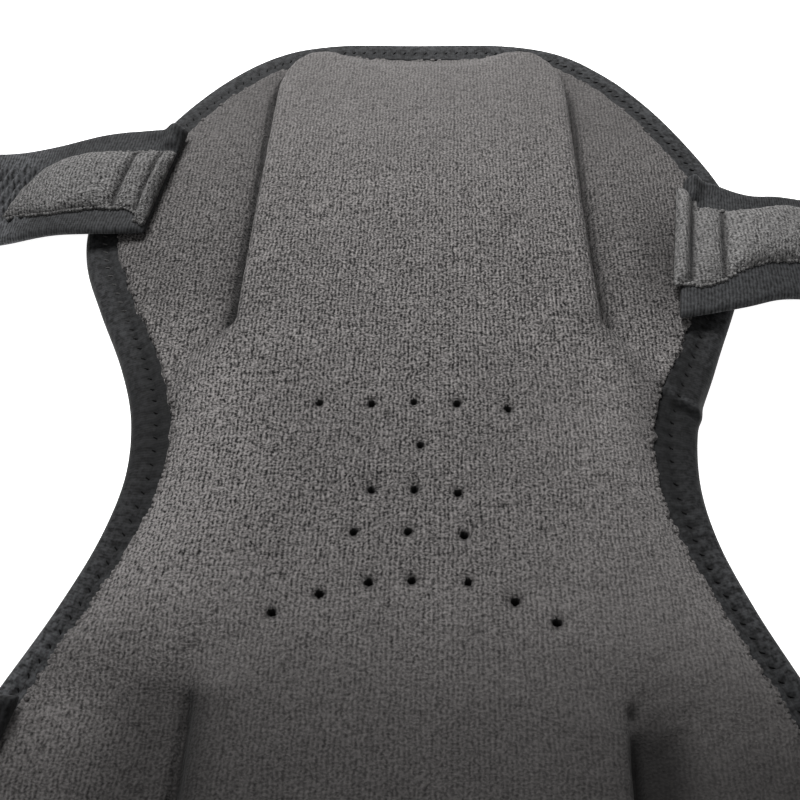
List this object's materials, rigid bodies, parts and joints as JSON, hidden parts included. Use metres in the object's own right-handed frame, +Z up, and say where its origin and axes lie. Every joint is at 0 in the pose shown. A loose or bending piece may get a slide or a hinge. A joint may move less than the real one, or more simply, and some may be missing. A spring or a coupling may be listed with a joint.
{
  "type": "knee brace",
  "caption": "Padded hourglass knee brace laid open with its towelling lining up, with vent holes, sewn darts, a black knitted edge binding and straps at the corners.",
  "frame": {"origin": "middle of the bounding box on the floor, under the waist of the brace", "axes": "+X across the leg to the viewer's right, +Y up the leg to the thigh end, +Z up from the floor to the lining"},
  "size_m": [0.463, 0.3436, 0.0169],
  "materials": {
    "terry_lining": "grey-brown loop towelling, matt",
    "knit_binding": "black ribbed knit tape with a stitched fold",
    "strap_knit": "black ribbed knit",
    "strap_terry": "grey loop towelling, matt"
  },
  "bodies": {
    "root": {"body_panel": "terry_lining", "body_binding": "knit_binding", "strap_upper_left": "strap_knit", "strap_pad_upper_left": "strap_terry", "strap_upper_right": "strap_knit", "strap_pad_upper_right": "strap_terry", "strap_lower_left": "strap_knit", "strap_pad_lower_left": "strap_terry", "strap_lower_right": "strap_knit", "strap_pad_lower_right": "strap_terry"}
  },
  "joints": []
}
